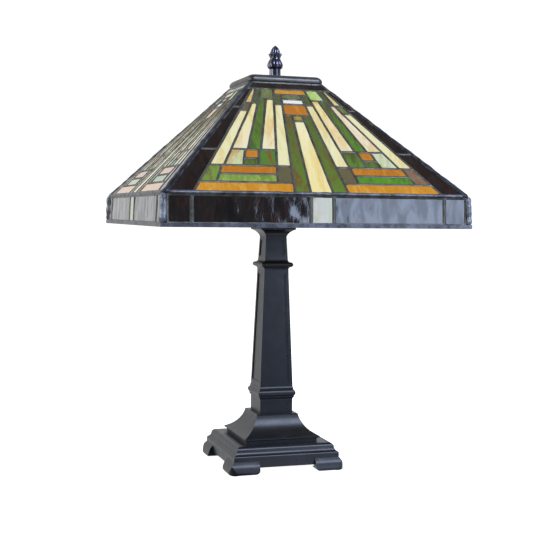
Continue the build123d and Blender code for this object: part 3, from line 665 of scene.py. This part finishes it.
def bar_mesh(start, end, across, other, lump, size, seed, ring=14, step=2.5 * MM):
    """Rounded bar between two points: (points, faces). across and other are its half sizes as vectors."""
    length = np.linalg.norm(end - start)
    count = max(2, int(length / step))
    points = []
    for k in range(count + 1):
        t = k / count
        middle = start + (end - start) * t
        past = max(0.0, abs(2 * t - 1) * length / 2 + END_ROUND - length / 2)
        taper = sqrt(1 - END_DROP * (past / END_ROUND) ** 2)
        for j in range(ring):
            angle = 2 * pi * j / ring
            out = across * cos(angle) + other * sin(angle)
            grow = 1 + lump * noise.noise(Vector(middle + out) / size + Vector((seed, 0, 0)))
            points.append(middle + out * grow * taper)
    return points, tube_faces(count, ring)


def tube_faces(rows, ring):
    """Faces of a closed tube made of rings of points, one above the other, with flat ends."""
    faces = []
    for k in range(rows):
        for j in range(ring):
            a, b = k * ring + j, k * ring + (j + 1) % ring
            faces.append([a, b, b + ring, a + ring])
    faces.append(list(range(ring))[::-1])
    faces.append([rows * ring + j for j in range(ring)])
    return faces


def add_beads(name, node, material, half_across, half_out, lump, size=9 * MM):
    """Soldered beads along straight lines: one rounded, uneven bar for each solid of a CAD node."""
    points, faces = [], []
    for number, (bar, _) in enumerate(solids_of(node)):
        low, high = bar_ends(bar)
        axis = (high - low) / np.linalg.norm(high - low)
        middle = bar.mean(0)
        outward = np.array((middle[0], middle[1], 0.0))
        outward = outward / np.linalg.norm(outward) + np.array((0, 0, LOOKS_UP))
        out = outward - axis * (outward @ axis)
        out /= np.linalg.norm(out)
        across = np.cross(axis, out)
        seed = number * 3.7
        bar_points, bar_faces = bar_mesh(low, high, across * half_across, out * half_out, lump, size, seed)
        start = len(points)
        points += bar_points
        faces += [[i + start for i in f] for f in bar_faces]
    piece = add_mesh(name, points, faces, material, "shade", smooth_angle=60)
    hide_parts(node)


# ---- turned and moulded metal --------------------------------------------------------------------
def add_finial(material):
    """Cast finial: round neck, ribbed lower bud, waist, a collar of leaf tips and a pointed bud."""
    (x0, y0, z0), (x1, y1, z1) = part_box("finial")
    cx, cy = (x0 + x1) / 2, (y0 + y1) / 2
    tall, wide = z1 - z0, (x1 - x0) / 2
    leaves = 8
    # (height share, radius share, leaf depth share) from foot to tip
    profile = np.array([
        (0.000, 0.75, 0.000), (0.022, 0.75, 0.000), (0.034, 0.71, 0.000), (0.285, 0.70, 0.000),
        (0.300, 0.72, 0.000), (0.312, 0.80, 0.000), (0.330, 0.90, 0.010), (0.360, 0.96, 0.040),
        (0.410, 1.00, 0.060), (0.450, 0.98, 0.070), (0.500, 0.90, 0.070), (0.550, 0.78, 0.050),
        (0.590, 0.68, 0.030), (0.620, 0.64, 0.010), (0.650, 0.68, 0.030), (0.685, 0.74, 0.100),
        (0.720, 0.82, 0.200), (0.745, 0.86, 0.260), (0.757, 0.78, 0.200), (0.775, 0.66, 0.110),
        (0.815, 0.60, 0.080), (0.855, 0.55, 0.080), (0.900, 0.46, 0.070), (0.940, 0.34, 0.050),
        (0.970, 0.22, 0.020), (0.988, 0.12, 0.000), (1.000, 0.03, 0.000),
    ])
    rows, ring = 170, 112
    waist = 0.62
    points = []
    for k in range(rows + 1):
        t = k / rows
        radius = np.interp(t, profile[:, 0], profile[:, 1])
        depth = np.interp(t, profile[:, 0], profile[:, 2])
        shift = pi / leaves if t > waist else 0.0
        for j in range(ring):
            angle = 2 * pi * j / ring
            crest = abs(cos((angle + shift) * leaves / 2)) ** 0.7
            reach = wide * (radius - depth * (1 - crest))
            points.append((cx + reach * cos(angle), cy + reach * sin(angle), z0 + tall * t))
    faces = tube_faces(rows, ring)
    piece = add_mesh("finial_leafed", points, faces, material, "finial", smooth_angle=40)
    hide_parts("finial")


def rounded_square(half, radius, per_corner):
    """Points of a rounded square about the origin, anticlockwise."""
    found = []
    reach = (half - radius) * sqrt(2)
    for quarter in range(4):
        start = quarter * pi / 2
        cx, cy = reach * cos(start + pi / 4), reach * sin(start + pi / 4)
        for k in range(per_corner + 1):
            angle = start + pi / 2 * k / per_corner
            found.append((cx + radius * cos(angle), cy + radius * sin(angle)))
    return found


def add_cap(material):
    """Pressed cap: flat top, rolled edge with a slight flare, and a hollow underside."""
    (x0, _, z0), (x1, _, z1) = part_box("shade_cap")
    half = (x1 - x0) / 2
    (left, _, _), (right, _, _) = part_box("finial_insert")
    hole = (right - left) / 2 + 0.2 * MM
    sheet = 1.4 * MM
    dent, dent_size = 0.12 * MM, 12 * MM
    per_corner = 10
    ring = 4 * (per_corner + 1)
    # (inset from the widest line in mm, height share, corner radius in mm) up the outside and over the top
    outside = (
        (0.9, 0.00, 7.6), (0.5, 0.06, 7.8), (0.2, 0.16, 8.0), (0.0, 0.28, 8.0), (0.1, 0.40, 8.0),
        (0.6, 0.53, 7.8), (1.5, 0.66, 7.4), (2.8, 0.79, 6.8), (4.4, 0.90, 6.0), (6.2, 0.965, 5.2),
        (8.4, 0.99, 4.6), (12.0, 1.0, 4.0), (22.0, 1.0, 3.2), (36.0, 1.0, 2.0),
    )
    underside = ((5.6, 0.86, 4.4), (3.4, 0.62, 5.6), (1.9, 0.3, 6.6), (1.6, 0.02, 6.8))
    points = []
    for inset, share, radius in outside:
        z = z0 + (z1 - z0) * share
        for x, y in rounded_square(half - inset * MM, radius * MM, per_corner):
            wave = dent * noise.noise(Vector((x, y, z)) / dent_size)
            points.append((x, y, z + wave * min(1, share * 2)))
    for z in (z1, z1 - sheet):
        for k in range(ring):
            angle = 2 * pi * (k + 0.5) / ring
            points.append((hole * cos(angle), hole * sin(angle), z))
    for inset, share, radius in underside:
        z = z0 + (z1 - z0) * share
        points.extend((x, y, z) for x, y in rounded_square(half - inset * MM, radius * MM, per_corner))
    faces = []
    for k in range(len(points) // ring):
        for j in range(ring):
            a, b = k * ring + j, k * ring + (j + 1) % ring
            faces.append([a, b, (b + ring) % len(points), (a + ring) % len(points)])
    piece = add_mesh("cap_pressed", points, faces, material, "shade", smooth_angle=35)
    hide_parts("shade_cap")


def soften(node, width, segments):
    """Rounded edges on a CAD node that is shown as it is, wherever it bends by more than a slight angle."""
    least_bend = 28.0
    piece = NODES[node]
    bevel = piece.modifiers.new("edge", "BEVEL")
    bevel.width = width
    bevel.segments = segments
    bevel.limit_method = "ANGLE"
    bevel.angle_limit = radians(least_bend)
    bevel.harden_normals = True
    for face in piece.data.polygons:
        face.use_smooth = True


def dress(material, *nodes):
    """Gives CAD nodes that are shown as they are a procedural material."""
    for node in nodes:
        piece = NODES[node]
        piece.data.materials.clear()
        piece.data.materials.append(material)


# ---- setting -------------------------------------------------------------------------------------
# How the world's light grades from dark in front and above to light low down behind.
WORLD_DROP = 0.45
WORLD_DARK = (0.12, 0.13, 0.15)
WORLD_LIGHT = (0.71, 0.72, 0.735)
BACKDROP = 1.1


def add_light(name, place, target, size, power, colour):
    """Rectangular softbox that lights the object but isn't seen itself."""
    data = bpy.data.lights.new(name, "AREA")
    data.shape = "RECTANGLE"
    data.size, data.size_y = size
    data.energy = power
    data.color = colour
    light = bpy.data.objects.new(name, data)
    light.location = place
    light.rotation_euler = (Vector(target) - Vector(place)).to_track_quat("-Z", "Y").to_euler()
    light.visible_camera = False
    bpy.context.scene.collection.objects.link(light)


def add_lights():
    """High softbox in front, a low one that the skirt's right half mirrors, and two on the left."""
    add_light(
        "high_front_softbox", place=(0.9, -2.2, 2.3), target=(0, 0, 0.3),
        size=(1.7, 1.2), power=60, colour=(0.75, 0.86, 1.14))
    add_light(
        "low_right_softbox", place=(1.31, -2.3, 0.52), target=(1.31, 0, 0.52),
        size=(1.17, 0.9), power=14.6, colour=(0.60, 0.73, 1.0))
    add_light(
        "left_strip", place=(-2.1, -0.75, 0.6), target=(0, 0, 0.5),
        size=(0.4, 1.3), power=9, colour=(0.88, 0.93, 1.0))
    add_light(
        "back_left_softbox", place=(-2.2, 0.8, 1.2), target=(0, 0, 0.4),
        size=(1.2, 1.6), power=14, colour=(1.0, 0.98, 0.96))


def add_world():
    """White backdrop; what the object reflects is bright behind and dim above and in front."""
    world = bpy.data.worlds.new("studio")
    world.use_nodes = True
    tree = world.node_tree
    nodes, links = tree.nodes, tree.links

    def worked_out(operation, first, second):
        node = nodes.new("ShaderNodeMath")
        node.operation = operation
        for socket, value in zip(node.inputs, (first, second)):
            if isinstance(value, bpy.types.NodeSocket):
                links.new(value, socket)
            else:
                socket.default_value = value
        return node.outputs[0]

    surroundings = nodes["Background"]
    coords = nodes.new("ShaderNodeTexCoord")
    split = nodes.new("ShaderNodeSeparateXYZ")
    links.new(coords.outputs["Generated"], split.inputs[0])
    height = worked_out("ABSOLUTE", split.outputs["Z"], 0.0)
    behind = worked_out("ADD", split.outputs["Y"], worked_out("MULTIPLY", height, -WORLD_DROP))
    ramp = nodes.new("ShaderNodeValToRGB")
    links.new(worked_out("ADD", worked_out("MULTIPLY", behind, 0.5), 0.5), ramp.inputs["Fac"])
    elements = ramp.color_ramp.elements
    elements[0].position, elements[0].color = 0.30, (*WORLD_DARK, 1)
    elements[1].position, elements[1].color = 0.66, (*WORLD_LIGHT, 1)
    links.new(ramp.outputs["Color"], surroundings.inputs["Color"])
    white = nodes.new("ShaderNodeBackground")
    white.inputs["Color"].default_value = (1, 1, 1, 1)
    white.inputs["Strength"].default_value = BACKDROP
    path = nodes.new("ShaderNodeLightPath")
    pick = nodes.new("ShaderNodeMixShader")
    links.new(path.outputs["Is Camera Ray"], pick.inputs[0])
    links.new(surroundings.outputs[0], pick.inputs[1])
    links.new(white.outputs[0], pick.inputs[2])
    links.new(pick.outputs[0], nodes["World Output"].inputs["Surface"])
    bpy.context.scene.world = world


def add_plane(name, size, place, material):
    """Level square that belongs to the setting."""
    bpy.ops.mesh.primitive_plane_add(size=size, location=place)
    plane = bpy.context.object
    plane.name = name
    plane.data.materials.append(material)
    return plane


def add_floor():
    """Plain pale floor at the height of the foot pads."""
    look = Look("floor_white")
    tone = look.noise(look.place(), scale=3.0, detail=2.0)
    look.join(look.ramp(tone, (0.0, 0.93), (1.0, 0.96)), look.shader.inputs["Base Color"])
    look.set(Roughness=0.8, Emission_Color=(1, 1, 1, 1), Emission_Strength=1.0)
    floor = add_plane("floor", 9.0, (0, 0, CAD_BOX[0][2]), look.material)
    floor.visible_diffuse = False
    floor.visible_glossy = False


def add_bounce_card():
    """Pale card just under the floor in front, seen only in what the base reflects."""
    look = Look("card_pale_blue")
    look.set(Base_Color=(0, 0, 0, 1), Emission_Color=(0.86, 0.92, 1.12, 1), Emission_Strength=0.85)
    card = add_plane("bounce_card", 0.28, (0.09, -0.21, CAD_BOX[0][2] - 0.5 * MM), look.material)
    card.visible_camera = False
    card.visible_diffuse = False
    card.visible_shadow = False


# ---- the lamp ------------------------------------------------------------------------------------
# Places in the pattern, in millimetres: v is the height above the eave, u the distance from the centre
# line of the panel, and a pane lies where its middle does.
LOWEST_STRIPS = 40
LOW_ROWS = 48
SQUARES = (50, 78)
CENTRE_STRIPS = 100
LONG_STRIPS = (110, 140)
SMALL_SQUARE = (135, 146)
UPPER_ROW = (154, 168)
DEEP_AMBER_ROWS = (36, 160)
TOP_ROW = 175
ON_CENTRE = 2
NEXT_TO_CENTRE = 32
BESIDE_CENTRE = (30, 60)
OUTER_STRIP = 60
INNER_SQUARES = 72
CORNERS = 100
# A panel whose normal rises by less than this is part of the skirt.
SKIRT_RISE = 0.2
# Most that a pane's streaks lean by chance, in radians.
CHANCE_LEAN = 0.35


def between(value, span):
    """True where a value lies inside a span."""
    return span[0] < value < span[1]


def pane_tints(pane):
    """(lean of the streaks, stretch along the pane, three colours) for a pane, by where it lies."""
    u, v = pane.u, pane.v
    left, away = u < 0, abs(u)
    chance = noise.noise(Vector((u * 0.11 + 3.3 * pane.side, v * 0.13, pane.side * 1.7)))
    lean = CHANCE_LEAN * chance
    if pane.panel.n[2] < SKIRT_RISE:
        return lean * 0.3, 0.4, SKIRT_PALE if pane.colour == "skirt_pale" else SKIRT_DARK
    if pane.colour == "dark":
        return lean, 0.4, DARK
    if pane.colour == "amber":
        if between(v, SMALL_SQUARE):
            return lean, 0.4, OLIVE_YELLOW
        return lean, 0.3, DEEP_AMBER if between(v, DEEP_AMBER_ROWS) else AMBER
    if pane.colour == "cream":
        return cream_tints(u, v, lean)
    if pane.colour == "pale":
        return pale_tints(u, v, lean)
    if away < ON_CENTRE:
        return lean, 0.4, SMOKE_GREEN
    if v < LOW_ROWS and away > CORNERS:
        return lean, 0.4, MOSS if left else MAUVE
    if v < LOW_ROWS and between(away, BESIDE_CENTRE):
        return lean, 0.4, SMOKE
    if between(v, UPPER_ROW):
        return lean, 0.4, SMOKE if left else SMOKE_GREEN
    if v > UPPER_ROW[1]:
        return lean, 0.4, TOP_GREEN
    if away < NEXT_TO_CENTRE and v < CENTRE_STRIPS:
        return lean * 0.5, 0.34, OLIVE
    if between(v, SQUARES) and away < INNER_SQUARES:
        return lean, 0.22, GREEN_RED if left else GREEN
    return lean * 0.5, 0.2, GREEN


def cream_tints(u, v, lean):
    """The same three values for a cream pane."""
    if v > TOP_ROW:
        return lean, 0.3, AMBER_CREAM
    if abs(u) < ON_CENTRE:
        return 0.12, 0.18, CENTRE_CREAM
    if between(v, LONG_STRIPS) and u > OUTER_STRIP:
        return -0.4, 0.25, PINK_CREAM
    if between(v, LONG_STRIPS):
        return 0.3 if u < 0 else -0.1, 0.22, YELLOW_CREAM
    return lean, 0.2, CREAM


def pale_tints(u, v, lean):
    """The same three values for a pale pane."""
    left = u < 0
    if abs(u) < ON_CENTRE:
        return 0.0, 0.5, WHITE
    if v > TOP_ROW:
        return lean, 0.4, SMOKE_GREEN if left else MINT
    if v < LOWEST_STRIPS:
        return lean, 0.3, LIGHT_GREEN if left else VIVID_GREEN
    return lean + 0.4, 0.3, PALE_STREAKED if left else PALE


def place_panes(panels, panes):
    """Gives each pane its side and its place on its panel, in millimetres."""
    eave_lead = 2.6
    for side, panel in enumerate(panels.values()):
        mine = [p for p in panes if p.panel is panel]
        low = min(p.outline[:, 1].min() for p in mine)
        for pane in mine:
            pane.u = pane.middle[0] / MM
            pane.v = (pane.middle[1] - low) / MM + eave_lead
            pane.side = side


def side_name(normal):
    """front, right, back or left, by where a panel faces."""
    x, y = normal[0], normal[1]
    if abs(x) > abs(y):
        return "right" if x > 0 else "left"
    return "back" if y > 0 else "front"


def build_panels():
    """Glass and lead lines of the shade."""
    panels, panes = read_panes()
    place_panes(panels, panes)
    glass = glass_material(
        "opal_streaky", painted_backlight=0.48, streak_scale=75.0, rough=0.16,
        ripple_scale=180.0, relief=0.2 * MM, film=(0.8, 1.0))
    dark_glass = glass_material(
        "dark_hammered", painted_backlight=0.0, streak_scale=38.0, rough=0.1,
        ripple_scale=70.0, relief=0.55 * MM, film=(0.4, 0.95))
    for colour in ("amber", "cream", "green", "pale"):
        add_glass(panes, colour, glass, ripple=0.1 * MM, ripple_size=16 * MM)
    add_glass(panes, "dark", dark_glass, ripple=0.1 * MM, ripple_size=16 * MM)
    add_glass(panes, "skirt_dark", dark_glass, ripple=0.34 * MM, ripple_size=15 * MM)
    add_glass(panes, "skirt_pale", glass, ripple=0.12 * MM, ripple_size=10 * MM)
    lead = solder_material("solder_dark", rgb(72, 71, 62), rgb(110, 107, 95), worn=0.5, metallic=0.3)
    for panel in panels.values():
        kind = "skirt" if panel.n[2] < SKIRT_RISE else "slope"
        add_lead(kind, panel, [p for p in panes if p.panel is panel], lead)


def build_seams():
    """Beads along the shade's edges, its rim and top ring, and the cap and finial."""
    # Three copies of one solder. Their bluish lighter colours are partly rubbed metal and partly painted
    # highlight; the copy for the hips and top ring is darkened as painted shade, and the corner copy is
    # brightened as a painted highlight.
    seam = solder_material("solder_rubbed_and_highlit", rgb(58, 57, 58), rgb(126, 128, 136), worn=0.6, metallic=0.5)
    hip = solder_material("solder_painted_shade", rgb(28, 27, 29), rgb(80, 84, 94), worn=0.62, metallic=0.4)
    bright = solder_material(
        "solder_painted_highlight", rgb(66, 69, 78), rgb(184, 190, 200),
        worn=0.52, metallic=0.4, relief=4.5 * MM, lumps=190.0)
    add_beads("bead_hips", "hip_beads", hip, half_across=4.6 * MM, half_out=3.2 * MM, lump=0.22)
    add_beads(
        "bead_corners", "corner_seams", bright,
        half_across=4.3 * MM, half_out=3.6 * MM, lump=0.26, size=6 * MM)
    add_beads("bead_eaves", "eave_beads", seam, half_across=2.6 * MM, half_out=2.4 * MM, lump=0.2)
    # The top ring under the cap takes the darkened copy, as painted shade.
    for node, material in (("rim_channel", seam), ("top_ring", hip)):
        soften(node, width=0.8 * MM, segments=2)
        dress(material, node)
    add_cap(metal_material("cap_dark", rgb(112, 110, 107), rough=(0.36, 0.52), grain=0.06))
    add_finial(metal_material("finial_dark", rgb(112, 114, 128), rough=(0.22, 0.34), grain=0.06))


def build_base():
    """Painted castings, felt and iron of the base and column."""
    black = (0.0105, 0.0118, 0.0165)
    castings = ("base_plinth", "base_pedestal", "column", "capital")
    dress(paint_material("satin_black", black, low=0.27, high=0.36, grain=0.04), *castings)
    for node in castings:
        soften(node, width=1.3 * MM, segments=4)
    dress(plain_material("felt_dark", rgb(30, 32, 30), rough=0.95, grain=0.8, scale=1400.0), "foot_pads")
    dress(plain_material("cover_card", rgb(40, 40, 42), rough=0.8), "bottom_cover")
    dress(plain_material("cast_iron", rgb(70, 68, 66), rough=0.6, grain=0.5, scale=500.0), "ballast_weight")
    zinc = metal_material("zinc_plated", rgb(186, 190, 194))
    dress(zinc, "rod_locknut", "rod_washer", "lamp_rod", "riser_rod", "seat_nut", "shade_seat")
    dress(plain_material("bush_black", rgb(26, 26, 28), rough=0.45, grain=0.15), "cord_bushing")


def build_inside():
    """Cluster, lampholders and bulbs under the shade."""
    dark = paint_material("dark_metal", rgb(52, 48, 44), low=0.28, high=0.44, grain=0.15, coat=0.2)
    dress(dark, "cluster_body", "cluster_cover", "neck_plate", "column_nut")
    brass = metal_material("brass", rgb(200, 158, 88))
    nickel = metal_material("bulb_nickel", rgb(198, 200, 200))
    liner = plain_material("liner_card", rgb(188, 170, 132), rough=0.85)
    phenolic = plain_material("phenolic_black", rgb(28, 26, 25), rough=0.35, grain=0.1)
    for side in ("right", "left"):
        opal = plain_material(
            f"bulb_opal_{side}", rgb(244, 242, 236),
            rough=0.3, grain=0.02, scale=120.0, low=0.95, high=1.02)
        dress(brass, f"socket_shell_{side}", f"socket_screw_shell_{side}", f"socket_contact_{side}")
        dress(liner, f"socket_liner_{side}")
        dress(phenolic, f"socket_switch_{side}", f"switch_knob_{side}")
        dress(nickel, f"bulb_base_{side}", f"bulb_contact_{side}")
        dress(opal, f"bulb_glass_{side}")
    dress(brass, "finial_insert")


bpy.context.scene.view_settings.view_transform = "Standard"
add_camera()
add_world()
add_floor()
add_bounce_card()
add_lights()
build_panels()
build_seams()
build_base()
build_inside()
